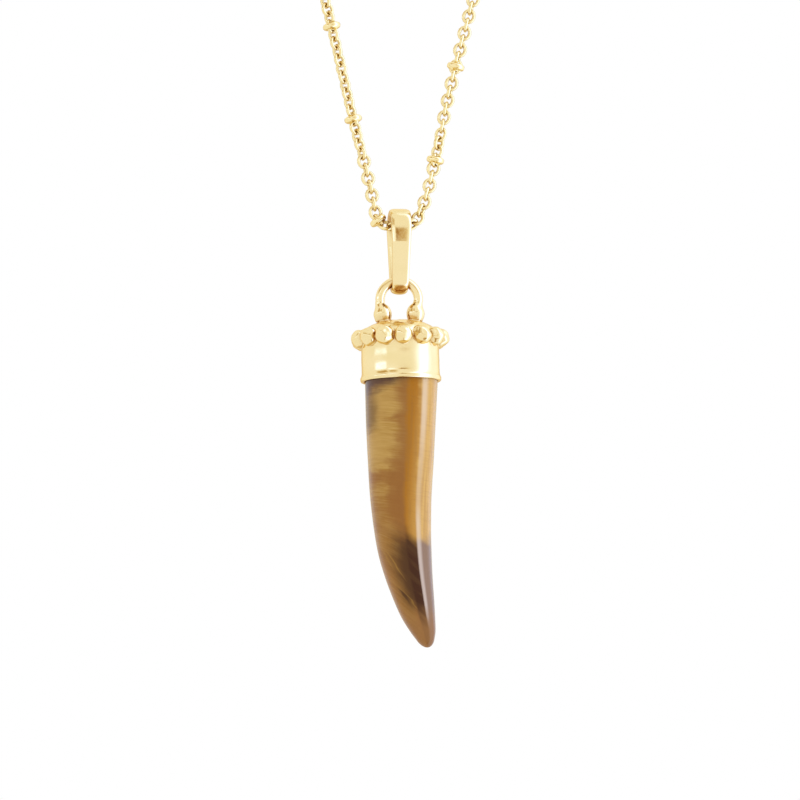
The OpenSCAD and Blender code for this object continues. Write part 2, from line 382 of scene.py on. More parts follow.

# %% [markdown]
# ## Stone
#
# The stone is brown with silky fibres, and it was cut across its layers. The front left is a
# milky honey zone with fine lines across it, clouded with umber and violet. A layer edge runs
# down the piece to a clear amber zone with lines along it, then come a pale vein, which is a
# painted highlight of the bright panel on the right, and a tan side, partly the stone's tone
# and partly painted light from the right. Low down the stone is dark, and smoky past the
# vein, and the tip is an even brown.
# Real layers are flat, but here they follow the horn's bend, so the pattern reads the piece's
# own UV map: U runs across the horn from left to right and V from the cap to the tip. Noise
# on Object coordinates breaks up the borders and gives the fibres. The colours are laid on in
# coats, each through a mask that says where it shows.

# %% Stone colours, clouds and veins
stone_colours = {
    "honey": (0.349, 0.178, 0.033, 1),
    "glow": (0.479, 0.286, 0.079, 1),
    "umber": (0.256, 0.096, 0.021, 1),
    "violet": (0.099, 0.045, 0.033, 1),
    "amber": (0.349, 0.121, 0.004, 1),
    # Tan is partly the stone's tone and partly painted light from the right
    "tan": (0.577, 0.328, 0.079, 1),
    # Pale, and mist lower down, colour the vein's painted highlight
    "pale": (0.645, 0.475, 0.295, 1),
    "smoke": (0.226, 0.128, 0.075, 1),
    "mist": (0.524, 0.412, 0.337, 1),
    "cinder": (0.060, 0.019, 0.008, 1),
    "dark": (0.035, 0.004, 0.004, 1),
    "rust": (0.263, 0.115, 0.036, 1),
}
# Clouds and veins that break up the zones: middle across and down, half width and height,
# slope, softness, strength and colour
stone_clouds = [
    (0.22, 0.11, 0.22, 0.06, -0.05, 0.7, 0.6, "glow"),
    (0.14, 0.26, 0.20, 0.07, -0.05, 0.7, 0.7, "glow"),
    (0.43, 0.42, 0.14, 0.15, 0.0, 0.5, 0.8, "umber"),
    (0.20, 0.365, 0.30, 0.028, -0.03, 0.6, 0.8, "umber"),
    (0.12, -0.03, 0.50, 0.075, -0.09, 0.4, 1.0, "violet"),
    (0.02, 0.12, 0.15, 0.07, 0.0, 0.6, 0.6, "cinder"),
    (0.00, 0.75, 0.30, 0.12, 0.1, 0.6, 0.4, "umber"),
]
stone_veins = [
    (0.25, 0.69, 0.13, 0.006, 0.45, 0.7, 0.5, "honey"),
    (0.40, 0.825, 0.25, 0.005, 0.26, 0.7, 0.4, "honey"),
    (0.29, 0.81, 0.08, 0.012, 0.30, 0.7, 0.9, "cinder"),
    (0.12, 0.66, 0.08, 0.010, 0.60, 0.8, 0.4, "honey"),
]
# Stretch along each axis, scale per metre, detail and distortion of each noise
stone_noises = {
    "cloud": ((1, 1, 1), 330.0, 4.0, 0.4),
    "silk": ((0.3, 0.3, 3.6), 1500.0, 5.0, 0.3),
    "tuft": ((0.5, 0.5, 2.2), 500.0, 4.0, 0.5),
    "streak": ((3.0, 3.0, 0.12), 700.0, 4.0, 0.2),
}
print("the stone has", len(stone_colours), "colours")


# %% Masks and coats
def stone_noise(tree, place, kind):
    """One of the stone's noises, drawn out along its axes for fibres."""
    stretch, scale, detail, twist = stone_noises[kind]
    drawn = first(tree, "ShaderNodeMapping", {"Vector": place, "Scale": stretch})
    return first(tree, "ShaderNodeTexNoise", {
        "Vector": drawn, "Scale": scale, "Detail": detail, "Distortion": twist})


def coated(tree, colour, coats):
    """A colour with coats over it in turn, each a mask with a stone colour or a socket."""
    for mask, tone in coats:
        inputs = {0: mask, 6: stone_colours.get(colour, colour), 7: stone_colours.get(tone, tone)}
        colour = node(tree, "ShaderNodeMix", inputs, data_type="RGBA").outputs[2]
    return colour


def between(tree, value, low, high, soft_low, soft_high):
    """1 where value lies between low and high, with soft borders."""
    return maths(tree, "MULTIPLY", ramp(tree, value, low - soft_low, low + soft_low),
                 ramp(tree, value, high - soft_high, high + soft_high, 1, 0))


def cloud_mask(tree, across, down, u, v, wide, tall, slope, soft, strength):
    """The strength inside a leaning oval and 0 outside, with a soft border."""
    aside = maths(tree, "MULTIPLY_ADD", across, 1 / wide, -u / wide)
    level = maths(tree, "MULTIPLY_ADD", down, 1 / tall, -v / tall)
    leant = maths(tree, "MULTIPLY_ADD", aside, -slope * wide / tall, level)
    both = first(tree, "ShaderNodeCombineXYZ", {"X": aside, "Y": leant})
    far = node(tree, "ShaderNodeVectorMath", {0: both}, operation="LENGTH").outputs["Value"]
    return maths(tree, "MULTIPLY", ramp(tree, far, 1 - soft, 1 + soft, 1, 0), strength)


def stone_grain(tree):
    """The place on the horn and the fibres there, as sockets that the zones are made from."""
    calc = partial(maths, tree)
    place = node(tree, "ShaderNodeTexCoord").outputs["Object"]
    uv = first(tree, "ShaderNodeUVMap", uv_map="UVMap")
    axes = node(tree, "ShaderNodeSeparateXYZ", {"Vector": uv}).outputs
    u, v = axes["X"], axes["Y"]
    # The fibres lie across the horn, and lean more and more towards the tip
    spot = node(tree, "ShaderNodeSeparateXYZ", {"Vector": place}).outputs
    lean = calc("MULTIPLY", spot["X"], ramp(tree, v, 0.4, 0.8, 0.1, 0.9))
    leaning = first(tree, "ShaderNodeCombineXYZ", {
        "X": spot["X"], "Y": spot["Y"], "Z": calc("ADD", spot["Z"], lean)})
    tuft = stone_noise(tree, leaning, "tuft")
    wander = calc("SUBTRACT", stone_noise(tree, place, "cloud"), 0.5)
    feather = calc("ADD", wander, calc("SUBTRACT", tuft, 0.5))
    return SimpleNamespace(
        u=u, v=v, feather=feather, tuft=tuft, silk=stone_noise(tree, leaning, "silk"),
        streak=stone_noise(tree, place, "streak"), across=calc("MULTIPLY_ADD", feather, 0.16, u),
        down=calc("MULTIPLY_ADD", feather, 0.05, v))


# %% Zones of the stone
def honey_side(tree, at):
    """The milky zone left of the layer edge."""
    step = partial(ramp, tree)
    ash = maths(tree, "MULTIPLY", step(at.across, 0.02, 0.52),
                between(tree, at.down, 0.59, 0.86, 0.06, 0.05))
    vein_down = maths(tree, "MULTIPLY_ADD", at.feather, 0.035, at.v)
    return coated(tree, "honey", [
        # Bright silk, brown tufts, and a browner band beside the layer edge
        (step(at.silk, 0.35, 0.65, 0, 0.8), "glow"),
        (step(at.tuft, 0.45, 0.7, 0, 0.35), "umber"),
        (step(at.across, 0.36, 0.52, 0, 0.8), "umber"),
        *((cloud_mask(tree, at.across, at.down, *shape), tone) for *shape, tone in stone_clouds),
        # Lower down it is browner, with cinders beside the layer edge
        (step(at.down, 0.34, 0.5, 0, 0.55), "umber"),
        (ash, "cinder"),
        *((cloud_mask(tree, at.u, vein_down, *shape), tone) for *shape, tone in stone_veins),
    ])


def painted_highlight_vein(tree, at):
    """The mask of the vein that runs down the right side, a painted highlight of the bright panel
    there, fainter in its middle.
    """
    step, calc = partial(ramp, tree), partial(maths, tree)
    drift = calc("MULTIPLY_ADD", step(at.v, 0.1, 0.55), 0.055, at.u)
    faint = calc("ADD", step(at.v, 0.12, 0.35, 0.8, 0.4), step(at.v, 0.45, 0.55, 0, 0.45))
    return calc("MULTIPLY", between(tree, drift, 0.795, 0.865, 0.02, 0.03),
                calc("MULTIPLY", faint, step(at.v, 0.87, 0.95, 1, 0)))


def amber_side(tree, at):
    """The clear zone right of the layer edge, with its pale vein, a painted highlight, and its
    tan side, partly painted light from the right.
    """
    step, calc = partial(ramp, tree), partial(maths, tree)
    paler = calc("MULTIPLY_ADD", at.v, 0.3, at.u)
    lower = calc("MULTIPLY_ADD", at.u, -0.25, at.down)
    smoky = calc("MULTIPLY", step(at.u, 0.72, 0.76), step(at.down, 0.575, 0.635))
    ember = coated(tree, "dark", [(step(at.tuft, 0.45, 0.65, 0, 0.8), "cinder")])
    # The vein's painted highlight: pale, and grey lower down
    painted_highlight = coated(tree, "pale", [(step(at.down, 0.58, 0.63), "mist")])
    return coated(tree, "amber", [
        # Lines along it, and tan on its side, partly the stone's tone and partly painted light
        # from the right
        (step(at.streak, 0.3, 0.7, 0, 0.3), "honey"),
        (step(paler, 0.67, 0.93, 0, 0.6), "tan"),
        (step(at.across, 0.72, 0.84), "tan"),
        (step(at.silk, 0.45, 0.7, 0, 0.15), "umber"),
        (step(at.streak, 0.42, 0.7, 0, 0.3), "umber"),
        # It is dark low down, and smoky past the pale vein, whose painted highlight turns grey
        # there
        (step(lower, 0.39, 0.47), ember),
        (smoky, "smoke"),
        (painted_highlight_vein(tree, at), painted_highlight),
    ])


# %% Stone material
stone_gloss = {"Roughness": 0.12, "IOR": 1.54, "Specular IOR Level": 0.35,
               "Specular Tint": (1, 0.72, 0.3, 1)}
silk_bump = {"Strength": 0.08, "Distance": 0.00005}


def banded_stone(name):
    """Silky brown stone, whose zones follow the piece's UV map."""
    material, tree, surface = new_material(name)
    at = stone_grain(tree)
    edge = maths(tree, "MULTIPLY_ADD", at.v, 0.08,
                 maths(tree, "MULTIPLY_ADD", at.feather, 0.05, at.u))
    colour = coated(tree, honey_side(tree, at), [
        (ramp(tree, edge, 0.555, 0.63), amber_side(tree, at)),
        # The tip is a warm even brown
        (ramp(tree, at.down, 0.83, 0.94, 0, 0.85), "rust"),
    ])
    relief = first(tree, "ShaderNodeBump", {"Height": at.silk, **silk_bump})
    fill(tree, surface, {"Base Color": colour, "Normal": relief, **stone_gloss})
    return material


stone = banded_stone("banded stone")
print("made", stone.name, "with", len(stone.node_tree.nodes), "nodes")

# %% [markdown]
# ## The chain's path
#
# The chain runs from the clasp's eye down the right strand, through the bail, and up the
# left strand to a jump ring on the clasp. Its route is the one that the CAD tube follows, in
# shares of the loop's width, depth and drop. Only the last stretch to the bail, which is
# given in millimetres, keeps closer to the picture, and lies up to about half a millimetre
# beside the tube. One smooth curve joins all the points.

# %% Chain path
chain_w = 120
chain_depth = 120
chain_drop = 246
nape = Vector((0, 58, 0))
chain_low = nape + Vector((0, -chain_depth, -chain_drop))
strand = [
    (0.2, 0.0025, 0), (0.5, 0.05, 0.004), (0.767, 0.158, 0.012), (0.933, 0.308, 0.033),
    (1, 0.475, 0.065), (0.983, 0.633, 0.114), (0.917, 0.767, 0.179), (0.833, 0.867, 0.256),
    (0.733, 0.933, 0.35), (0.617, 0.975, 0.459), (0.483, 0.992, 0.581), (0.237, 1, 0.805),
]
right_foot = [
    (9.2, 28.5), (6.3, 17), (4.55, 8.5), (3.55, 4.3), (2.7, 1.9), (2.2, 0.9), (1.55, 0.3),
    (0.8, 0.05),
]
left_foot = [
    (9.1, 28), (5.6, 12.9), (4.3, 7.8), (3.3, 3.5), (3.0, 1.95), (2.75, 0.95), (2.2, 0.33),
    (1.5, 0.12), (0.8, 0.03),
]
# The first link's middle, in the clasp's eye, and the last one's, in the jump ring
first_link = nape + Vector((5.2, 0, 0))
last_link = nape + Vector((-4.27, 0, 0))


def strand_points(side, foot):
    """A strand's points, on the right for side 1 and on the left for side -1."""
    upper = [nape + Vector((side * x * chain_w / 2, -y * chain_depth, -z * chain_drop))
             for x, y, z in strand]
    lower = [chain_low + Vector((side * x, 0, z)) for x, z in foot]
    return upper + lower


def curve_at(p0, p1, p2, p3, t):
    """A point of the smooth curve through p0 to p3, at share t between p1 and p2."""
    d1 = math.sqrt((p1 - p0).length)
    d2 = math.sqrt((p2 - p1).length)
    d3 = math.sqrt((p3 - p2).length)
    m1 = d2 * ((p1 - p0) / d1 - (p2 - p0) / (d1 + d2)) + (p2 - p1)
    m2 = d2 * ((p3 - p2) / d3 - (p3 - p1) / (d2 + d3)) + (p2 - p1)
    return ((2 * t ** 3 - 3 * t ** 2 + 1) * p1 + (t ** 3 - 2 * t ** 2 + t) * m1
            + (3 * t ** 2 - 2 * t ** 3) * p2 + (t ** 3 - t ** 2) * m2)


def smooth(points, steps):
    """Points along a smooth curve through the given ones."""
    ends = [2 * points[0] - points[1], *points, 2 * points[-1] - points[-2]]
    fine = []
    for i in range(len(points) - 1):
        fine += [curve_at(*ends[i:i + 4], j / steps) for j in range(steps)]
    return fine + [points[-1]]


right_strand = strand_points(1, right_foot)
left_strand = strand_points(-1, left_foot)
route = [first_link, *right_strand, chain_low, *left_strand[::-1], last_link]
route_steps = 24
path = smooth(route, route_steps)
reach = [0.0]
for here, there in zip(path, path[1:]):
    reach.append(reach[-1] + (there - here).length)
path_length = reach[-1]
low_reach = reach[(len(right_strand) + 1) * route_steps]
print("the chain's path is", round(path_length, 1), "mm, lowest at", round(low_reach, 1))

# %% [markdown]
# ## Chain links
#
# Each link is a nearly round ring of wire that passes through both neighbours, so links
# turn a quarter circle from one to the next. A bead like a flat round cushion sits on every
# eleventh or twelfth link. Over 600 links could be placed by a loop in the script, but
# Geometry Nodes do it in one tree: the path becomes evenly spaced points, a link is put on
# each, and a bead on some. Each link's frame comes from the path's direction and one fixed
# side direction, and the path carries an attribute for how far the chain is twisted there.
# A small random roll keeps the links from standing in perfect ranks.

# %% Helpers for Geometry Nodes
def geometry_tree(name, sizes):
    """A Geometry Nodes tree with named inputs, and the sockets that give their values."""
    tree = bpy.data.node_groups.new(name, "GeometryNodeTree")
    tree.interface.new_socket("Geometry", in_out="INPUT", socket_type="NodeSocketGeometry")
    for label, kind in sizes.items():
        tree.interface.new_socket(label, in_out="INPUT", socket_type="NodeSocket" + kind)
    tree.interface.new_socket("Geometry", in_out="OUTPUT", socket_type="NodeSocketGeometry")
    return tree, node(tree, "NodeGroupInput").outputs


def run_tree(made, tree, values):
    """Runs a tree on an object, with its inputs set by identifier, and keeps the mesh."""
    modifier = made.modifiers.new(tree.name, "NODES")
    modifier.node_group = tree
    for item in tree.interface.items_tree:
        if item.in_out == "INPUT" and item.name in values:
            modifier[item.identifier] = values[item.name]
    return applied(made)


def end_tree(tree, geometry, material):
    """Realizes the instances, gives the material, and ends the tree."""
    real = first(tree, "GeometryNodeRealizeInstances", {"Geometry": geometry})
    dressed = first(tree, "GeometryNodeSetMaterial", {"Geometry": real, "Material": material})
    node(tree, "NodeGroupOutput", {"Geometry": dressed})


def revolved(tree, length, width, sides, rings, outline):
    """A round solid along Z whose radius follows the outline, a list of places and shares."""
    half = maths(tree, "MULTIPLY", length, 0.5)
    start = first(tree, "ShaderNodeCombineXYZ", {"Z": maths(tree, "MULTIPLY", half, -1)})
    end = first(tree, "ShaderNodeCombineXYZ", {"Z": half})
    axis = first(tree, "GeometryNodeCurvePrimitiveLine", {"Start": start, "End": end})
    fine = first(tree, "GeometryNodeResampleCurve", {"Curve": axis, "Count": rings})
    share = node(tree, "GeometryNodeSplineParameter").outputs["Factor"]
    profile = node(tree, "ShaderNodeFloatCurve", {"Value": share})
    points = profile.mapping.curves[0].points
    while len(points) < len(outline):
        points.new(0.5, 0.5)
    for point, (at, size) in zip(points, outline):
        point.location = (at, size)
    profile.mapping.update()
    circle = first(tree, "GeometryNodeCurvePrimitiveCircle", {
        "Resolution": sides, "Radius": maths(tree, "MULTIPLY", width, 0.5)})
    return first(tree, "GeometryNodeCurveToMesh", {
        "Curve": fine, "Profile Curve": circle, "Scale": profile.outputs[0], "Fill Caps": True})


# %% One link and one bead
chain_tree, given = geometry_tree("chain links", {
    "Links": "Int", "Link Length": "Float", "Link Width": "Float", "Wire": "Float",
    "Bead Every": "Float", "Low Bead": "Int", "Bead Width": "Float", "Bead Height": "Float",
    "Loose Turn": "Float", "Seed": "Int", "Metal": "Material",
})
chain_node = partial(first, chain_tree)
chain_maths = partial(maths, chain_tree)
link_sides = 14
wire_sides = 6
bead_sides = 14
bead_rings = 13
bead_outline = [
    (0, 0.44), (0.1, 0.48), (0.17, 0.76), (0.3, 0.95), (0.5, 1), (0.7, 0.95), (0.83, 0.76),
    (0.9, 0.48), (1, 0.44),
]
# The middle of the wire is a round ring drawn out to the link's length and stood along Z
line_w = chain_maths("SUBTRACT", given["Link Width"], given["Wire"])
line_l = chain_maths("SUBTRACT", given["Link Length"], given["Wire"])
link_round = chain_node("GeometryNodeCurvePrimitiveCircle", {
    "Resolution": link_sides, "Radius": chain_maths("MULTIPLY", line_w, 0.5)})
draw_out = chain_node("ShaderNodeCombineXYZ", {
    "X": 1.0, "Y": chain_maths("DIVIDE", line_l, line_w), "Z": 1.0})
link_oval = chain_node("GeometryNodeTransform", {"Geometry": link_round, "Scale": draw_out})
link_upright = chain_node("GeometryNodeTransform", {
    "Geometry": link_oval, "Rotation": (math.radians(90), 0, 0)})
wire_round = chain_node("GeometryNodeCurvePrimitiveCircle", {
    "Resolution": wire_sides, "Radius": chain_maths("MULTIPLY", given["Wire"], 0.5)})
link = chain_node("GeometryNodeCurveToMesh", {
    "Curve": link_upright, "Profile Curve": wire_round})
bead = revolved(chain_tree, given["Bead Height"], given["Bead Width"], bead_sides, bead_rings,
                bead_outline)
print("a link has", link_sides * wire_sides, "faces")

# %% Links and beads along the path
path_curve = chain_node("GeometryNodeMeshToCurve", {"Mesh": given["Geometry"]})
spaced = node(chain_tree, "GeometryNodeCurveToPoints", {
    "Curve": path_curve, "Count": given["Links"]}, mode="COUNT").outputs
index = chain_node("GeometryNodeInputIndex")
quarter = chain_maths("MULTIPLY", chain_maths("MODULO", index, 2), math.pi / 2)
twist = chain_node("GeometryNodeInputNamedAttribute", {"Name": "twist"}, data_type="FLOAT")
loose = node(chain_tree, "FunctionNodeRandomValue", {
    2: chain_maths("MULTIPLY", given["Loose Turn"], -1), 3: given["Loose Turn"],
    "Seed": given["Seed"]}, data_type="FLOAT").outputs[1]
roll = chain_maths("ADD", quarter, chain_maths("ADD", twist, loose))
# Z runs along the path, Y looks the way of the fixed side direction, and the roll comes last
chain_side = (0, -0.6, 0.8)
aligned = chain_node("FunctionNodeAlignRotationToVector", {
    "Vector": spaced["Tangent"]}, axis="Z")
faced = chain_node("FunctionNodeAlignRotationToVector", {
    "Rotation": aligned, "Vector": chain_side}, axis="Y", pivot_axis="Z")
rolling = chain_node("FunctionNodeAxisAngleToRotation", {"Axis": (0, 0, 1), "Angle": roll})
rolled = chain_node("FunctionNodeRotateRotation", {
    "Rotation": faced, "Rotate By": rolling}, rotation_space="LOCAL")
# Beads are counted both ways from the lowest one, to the link next past each multiple, which
# lies less than one link beyond it
next_past = 0.9
since = chain_maths("ABSOLUTE", chain_maths("SUBTRACT", index, given["Low Bead"]))
beaded = chain_node("FunctionNodeCompare", {
    0: chain_maths("FLOORED_MODULO", since, given["Bead Every"]), 1: next_past},
    data_type="FLOAT", operation="LESS_THAN")
strung = node(chain_tree, "GeometryNodeJoinGeometry")
for shape, chosen in ((link, True), (bead, beaded)):
    copies = chain_node("GeometryNodeInstanceOnPoints", {
        "Points": spaced["Points"], "Selection": chosen, "Instance": shape, "Rotation": rolled})
    chain_tree.links.new(copies, strung.inputs[0])
end_tree(chain_tree, strung.outputs[0], given["Metal"])
print("the chain's tree has", len(chain_tree.nodes), "nodes")

# %% [markdown]
# The number of links is odd, so that the first and the last both stand upright, in the
# clasp's flat eye and in the flat jump ring. The twist is given in degrees at a few places
# along the path. At the nape it makes up for the lean of the side direction. Down the front
# every other link nearly faces the viewer, apart from a short stretch on the right strand and
# a longer one on the left, where the links stand half way round and the chain looks denser.

# %% Chain
link_length = 2.01
link_width = 1.78
link_wire = 0.45
link_pitch = 1.11
link_count = 2 * round(path_length / link_pitch / 2) + 1
bead_spacing = 11.5
roll_seed = 4
bead_wide = 2.25
bead_high = 1.15
loose_turn = math.radians(7)
# The lowest bead sits a little up the left strand
low_bead_at = low_reach + 3.15
low_bead = round(low_bead_at / (path_length / (link_count - 1)))
nape_twist = math.degrees(math.acos(-chain_side[1]))
# The twist that makes every other link nearly face the viewer
facing = -12
# Places along the path from its lowest point, in millimetres, and the twist there
twists = [
    (-low_reach, nape_twist), (-low_reach + 20, nape_twist), (-90, facing), (-14.8, facing),
    (-13.5, facing + 38), (-11, facing + 38), (-9.5, facing), (10.5, facing),
    (12.5, facing + 38), (27, facing + 40), (34, facing + 25), (42, facing), (90, facing),
    (path_length - low_reach - 20, nape_twist), (path_length - low_reach, nape_twist),
]


def twist_at(place):
    """The chain's twist at a place along the path, in radians."""
    for (here, turn), (there, next_turn) in zip(twists, twists[1:]):
        if place <= there:
            share = max(0, (place - here) / (there - here))
            return math.radians(turn + share * (next_turn - turn))
    return math.radians(twists[-1][1])


chain_edges = [(i, i + 1) for i in range(len(path) - 1)]
chain = mesh_object("chain_links", path, [], chain_edges)
twist_data = chain.data.attributes.new("twist", "FLOAT", "POINT")
twist_data.data.foreach_set("value", [twist_at(place - low_reach) for place in reach])
run_tree(chain, chain_tree, {
    "Links": link_count, "Link Length": link_length, "Link Width": link_width, "Wire": link_wire,
    "Bead Every": bead_spacing, "Low Bead": low_bead, "Bead Width": bead_wide,
    "Bead Height": bead_high, "Loose Turn": loose_turn, "Seed": roll_seed, "Metal": chain_gold,
})
print(link_count, "links, pitch", round(path_length / (link_count - 1), 4))

# %% [markdown]
# ## Clasp
#
# The clasp is a plain spring ring: a hollow ring of thick wire, cut open for a sliding
# tongue, with a small round lever on a stub and an eye of thin wire soldered to its side. A
# flat jump ring holds the chain's other end. All of them are tubes along arcs, so one
# function that sweeps a circle along points makes every part.

# %% Tube and ring makers
def swept(name, centres, radii, sides, closed=False, side=Vector((0, 1, 0))):
    """A round tube along the centres, with a radius at each, closed or with flat ends.

    The rings are turned by side, a direction that the tube never runs along."""
    count = len(centres)
    rings = []
    for i, centre in enumerate(centres):
        ahead = centres[(i + 1) % count] if closed else centres[min(i + 1, count - 1)]
        behind = centres[i - 1] if closed else centres[max(i - 1, 0)]
        along = (ahead - behind).normalized()
        across = along.cross(side).normalized()
        up = across.cross(along)
        rings.append([centre + radii[i] * (math.cos(angle) * across + math.sin(angle) * up)
                      for angle in angles_round(sides)])
    return lofted(name, rings, closed)


def arc(centre, radius, start, end, steps, flat=False):
    """Points on an arc, upright or flat, from start to end in degrees.

    A full circle doesn't repeat its first point."""
    whole = abs(end - start) == 360
    points = []
    for i in range(steps if whole else steps + 1):
        angle = math.radians(start + (end - start) * i / steps)
        out, up = math.cos(angle) * radius, math.sin(angle) * radius
        points.append(centre + Vector((out, up, 0) if flat else (out, 0, up)))
    return points


def flat_ring(name, x, radius, wire, steps, sides):
    """A closed flat ring of round wire, x aside of the nape."""
    centres = arc(nape + Vector((x, 0, 0)), radius, 0, 360, steps, flat=True)
    return swept(name, centres, [wire / 2] * steps, sides, closed=True, side=Vector((0, 0, 1)))


def ball(name, centre, size, squash, steps=24):
    """A ball, flattened along Z where squash is under 1."""
    work = bmesh.new()
    bmesh.ops.create_uvsphere(work, u_segments=steps, v_segments=steps // 2, radius=size / 2)
    bmesh.ops.scale(work, vec=(1, 1, squash), verts=work.verts)
    bmesh.ops.translate(work, vec=centre, verts=work.verts)
    mesh = bpy.data.meshes.new(name)
    work.to_mesh(mesh)
    work.free()
    return placed(name, mesh)


# %% Clasp
clasp_d = 6.2
clasp_wire = 1.3
eye_d = 2.5
eye_wire = 0.6
eye_x = clasp_d / 2 + eye_d / 2 - eye_wire / 2
ring_radius = (clasp_d - clasp_wire) / 2
# Turns round the ring are in degrees
lever_turn = 45
lever_l = 1
tongue_wire = 0.95
tongue_from = 60
tongue_to = 98
tongue_hidden = 8
end_chamfer = 0.1
# How far below the lever's top each of its rings lies, and the ring's radius
lever_shape = [(0.35, 0.22), (0.2, 0.32), (0, 0.27)]
stalk_r = 0.22

# The thick ring's wall stops where the thinner tongue slides out
body_arc = arc(nape, ring_radius, tongue_to, tongue_from + 360, steps=60)
body_radii = [clasp_wire / 2] * len(body_arc)
body_radii[0] = body_radii[-1] = clasp_wire / 2 - end_chamfer
ring_body = swept("ring_body", body_arc, body_radii, sides=20)
tongue_arc = arc(nape, ring_radius, tongue_from - tongue_hidden, tongue_to + tongue_hidden,
                 steps=20)
tongue = swept("tongue", tongue_arc, [tongue_wire / 2] * len(tongue_arc), sides=16)
lever_way = Vector((math.cos(math.radians(lever_turn)), 0, math.sin(math.radians(lever_turn))))
lever_from = nape + ring_radius * lever_way
lever_to = nape + (ring_radius + clasp_wire / 2 + lever_l) * lever_way
lever_points = [lever_from] + [lever_to - below * lever_way for below, _ in lever_shape]
lever_radii = [stalk_r] + [radius for _, radius in lever_shape]
lever = swept("lever", lever_points, lever_radii, sides=14)
eye = flat_ring("eye", eye_x, (eye_d - eye_wire) / 2, eye_wire, steps=32, sides=12)
clasp = joined("spring_clasp", [ring_body, tongue, lever, eye])
finished(clasp, gold, "necklace", "gold", "clasp")

jump_x = -2.76
jump_radius = 1.2
jump_wire = 0.4
jump = flat_ring("jump_ring", jump_x, jump_radius, jump_wire, steps=28, sides=10)
chain = joined("chain_links", [chain, jump])
finished(chain, chain_gold, "necklace", "gold", "chain")

# %% [markdown]
# ## Bail
#
# The bail is a tall closed band that hangs over the chain and holds the loop. From the side
# it has a round top, slightly bowed shoulders, straight arms that draw together, and a round
# bottom. Its outer face is nearly flat with soft edges, and its inner face is rounder, so
# that it slides on the chain. It could be a curve with a bevel, but the band gets narrower
# and thinner downwards, so the section is worked out at each place along its arcs.

# %% Bail
bail_h = 10.85
bail_w = 2.6
bail_low_w = 2.05
bail_wall = 1.25
bail_low_wall = 0.94
bail_bore = 2.5
bail_low_bore = 1.7
# Below the round top the outer face turns more slowly, leans out a little, and ends in a
# soft crease: the angle it looks up by where each bend starts, and the bend's radius
bail_bends = [(16, 6.1), (6, 40), (3.9, 0.75)]
bail_turn = math.degrees(math.atan2(*joints["bail_swing"]["axis"][1::-1]))
outer_square = 4
low_square = 2.1
# It gets rounder where it looks down: the sine where that starts, and how much more it takes
round_from = 0.2
round_over = 0.4
inner_square = 3
bail_ring = 40
bend_steps = 12
bottom_steps = 36

bail_r = (bail_bore + bail_wall) / 2
bail_low_r = (bail_low_bore + bail_low_wall) / 2
bail_span = bail_h - bail_bore / 2 - bail_wall - bail_low_bore / 2 - bail_low_wall


def towards(angle):
    """The direction across and up in the bail's plane that looks up by angle."""
    return Vector((math.cos(math.radians(angle)), math.sin(math.radians(angle))))


# Middle, radius and first angle of each bend, so that each runs on from the last
bends = [(Vector((0, 0)), bail_r, 90)]
for turned_to, radius in bail_bends:
    middle, last_radius, _ = bends[-1]
    bends.append((middle + (last_radius - radius) * towards(turned_to), radius, turned_to))
crease_at, crease_r, _ = bends[-1]
arm = crease_at + Vector((0, bail_span))
arm_slope = math.degrees(math.acos((bail_low_r - crease_r) / arm.length)
                         - math.atan2(arm[1], arm[0]))
print("the bail's arms lean in by", round(arm_slope, 1), "degrees")


def bail_section(angle, y, z, radius):
    """The band's outline where its outer face looks up by angle, on an arc round y and z."""
    angle = math.radians(angle)
    share = clamped((z + radius * math.sin(angle) + bail_span) / bail_span)
    wall = bail_low_wall + share * (bail_wall - bail_low_wall)
    width = bail_low_w + share ** 2 * (bail_w - bail_low_w)
    under = clamped((-math.sin(angle) - round_from) / round_over)
    outer = outer_square + under * (low_square - outer_square)
    outline = []
    for j in range(bail_ring):
        t = 2 * math.pi * (j + 0.5) / bail_ring
        square = outer if math.cos(t) > 0 else inner_square
        out, side = squarish(t, square)
        far = radius + out * wall / 2
        outline.append(Vector((side * width / 2, y + far * math.cos(angle),
                               z + far * math.sin(angle))))
    return outline


def bail_arc(start, end, y, z, radius, steps):
    """Sections from one angle to just before another."""
    return [bail_section(start + (end - start) * i / steps, y, z, radius)
            for i in range(steps)]


# From the front arm up over the top and down the back arm, then round the bottom
bail_rings = []
ends = [bend[2] for bend in bends[1:]] + [-arm_slope]
for ((y, z), radius, start), end in list(zip(bends, ends))[::-1]:
    bail_rings += bail_arc(end, start, y, z, radius, bend_steps)
for ((y, z), radius, start), end in zip(bends, ends):
    bail_rings += bail_arc(180 - start, 180 - end, -y, z, radius, bend_steps)
bail_rings += [bail_section(180 + arm_slope, -crease_at[0], crease_at[1], crease_r)]
bail_rings += bail_arc(180 + arm_slope, 360 - arm_slope, 0, -bail_span, bail_low_r,
                       bottom_steps)
bail_rings += [bail_section(360 - arm_slope, 0, -bail_span, bail_low_r)]

bail = lofted("tall_bail", bail_rings, True)
# An oval of shade painted into the colour under the round bottom
oval_turn = 50
oval_reach = 26
oval_width = 0.85
oval_fade = 5
painted_shade = bail.data.attributes.new("painted_shade", "FLOAT", "POINT")
for vertex in bail.data.vertices:
    x, y, z = vertex.co
    up = math.degrees(math.atan2(z + bail_span, abs(y)))
    edge = math.hypot((up + oval_turn) / oval_reach, x / oval_width)
    painted_shade.data[vertex.index].value = clamped(oval_fade - oval_fade * edge) * (z < -bail_span)
bail.data.transform(Matrix.Translation(hinge) @ Matrix.Rotation(math.radians(bail_turn), 4, "Z"))
finished(bail, gold, "bail", "gold", "bail")

# %% [markdown]
# ## Cap
#
# The cap is a cup with a low dome, a plain band and a small lip at its rim. A collar of
# hammered beads hides the edge of the dome, and a loop of thick wire stands on the dome on
# two swelling feet. The cup is turned on a lathe, so it is a profile spun round its axis.

